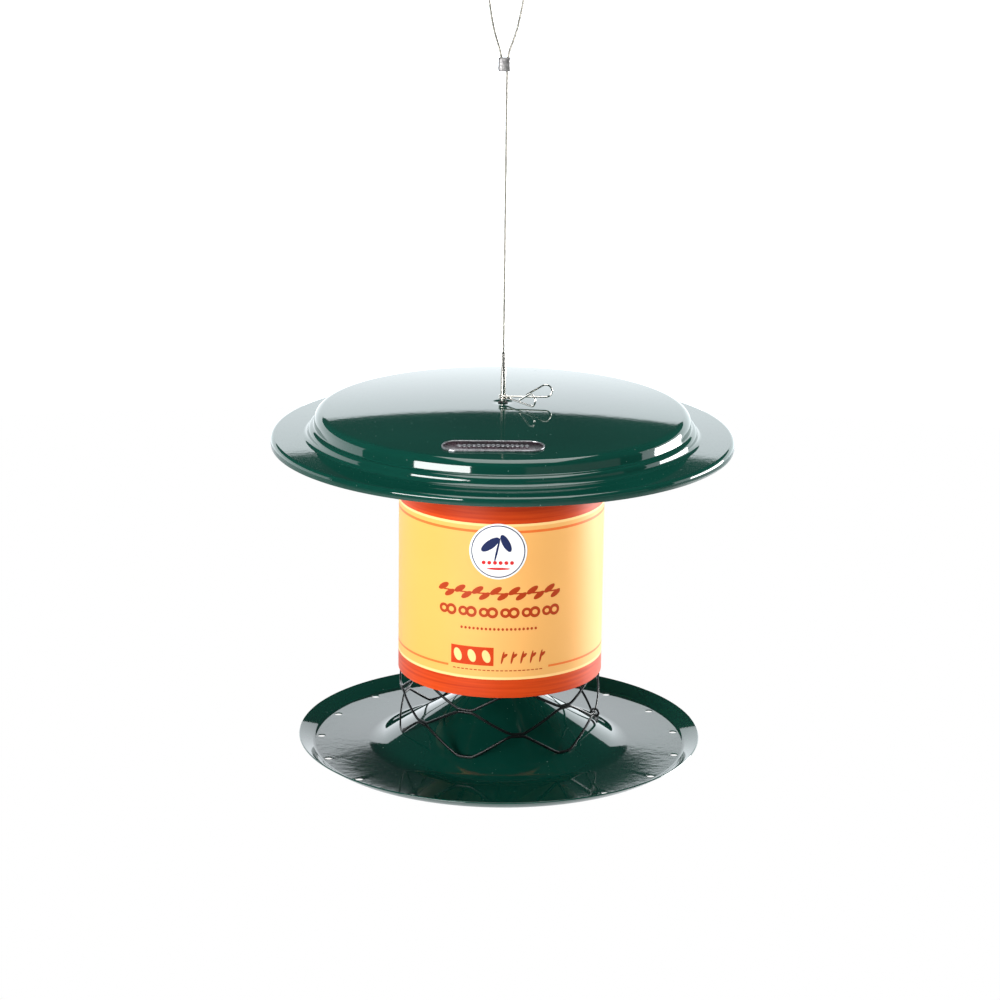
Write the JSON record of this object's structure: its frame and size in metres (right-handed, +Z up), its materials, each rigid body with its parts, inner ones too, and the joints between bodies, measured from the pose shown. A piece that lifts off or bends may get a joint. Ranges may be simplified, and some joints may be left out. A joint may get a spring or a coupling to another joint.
{
  "type": "hanging bird feeder",
  "caption": "Hanging nut feeder: domed steel roof over a coned tray, an expanded-metal cylinder between them, a rod through all, a wire-rope loop and a spring clip.",
  "frame": {"origin": "inside top of the wire-rope loop, the point that a hook carries", "axes": "+Z up along the rod and rope, -Y towards the nameplate and the front of the label, +X to the right seen from the front"},
  "size_m": [0.3048, 0.3048, 0.5305],
  "materials": {
    "green_coat": "gloss dark green powder coat with fine orange peel",
    "mesh_coat": "gloss dark green coating on expanded metal",
    "black_rubber": "matt black rubber",
    "black_enamel": "black enamel face with a bright rim",
    "nickel": "nickel plate",
    "stainless": "bright drawn stainless steel",
    "wire_rope": "stainless strands",
    "ferrule_alloy": "satin, crimped",
    "spring_wire": "bright spring wire",
    "label_card": "coated card, yellow-orange with darker bands",
    "sticker_paper": "gloss paper"
  },
  "bodies": {
    "tray_assembly": {"tray": "green_coat", "tray_magnets": "nickel", "hanger_rod": "stainless", "seal_washer": "black_rubber", "lower_washer": "stainless", "upper_washer": "stainless", "upper_nut": "stainless", "cap_nut": "stainless", "hanger_rope": "wire_rope", "ferrule": "ferrule_alloy"},
    "roof_assembly": {"roof": "green_coat", "roof_grommet": "black_rubber", "nameplate": "black_enamel", "roof_magnets": "nickel"},
    "mesh_assembly": {"mesh_cylinder": "mesh_coat", "seam_rings": "mesh_coat", "label_sleeve": "label_card", "round_sticker": "sticker_paper"},
    "clip": {"clip_upper_leg": "spring_wire"},
    "clip_lever": {"clip_lower_leg": "spring_wire"}
  },
  "joints": [
    {"name": "roof_lift", "type": "slide", "parent": "tray_assembly", "child": "roof_assembly", "axis": [0, 0, 1], "range_m": [0, 0.18]},
    {"name": "mesh_turn", "type": "hinge", "parent": "tray_assembly", "child": "mesh_assembly", "pos_m": [0, 0, -0.45], "axis": [0, 0, 1], "continuous": true},
    {"name": "clip_slide", "type": "slide", "parent": "roof_assembly", "child": "clip", "axis": [0, 0, 1], "range_m": [0, 0.03]},
    {"name": "clip_squeeze", "type": "hinge", "parent": "clip", "child": "clip_lever", "pos_m": [0, 0, -0.2901], "axis": [0, 0, 1], "range_deg": [0, 30], "stiffness_Nm_per_rad": 0.02}
  ]
}
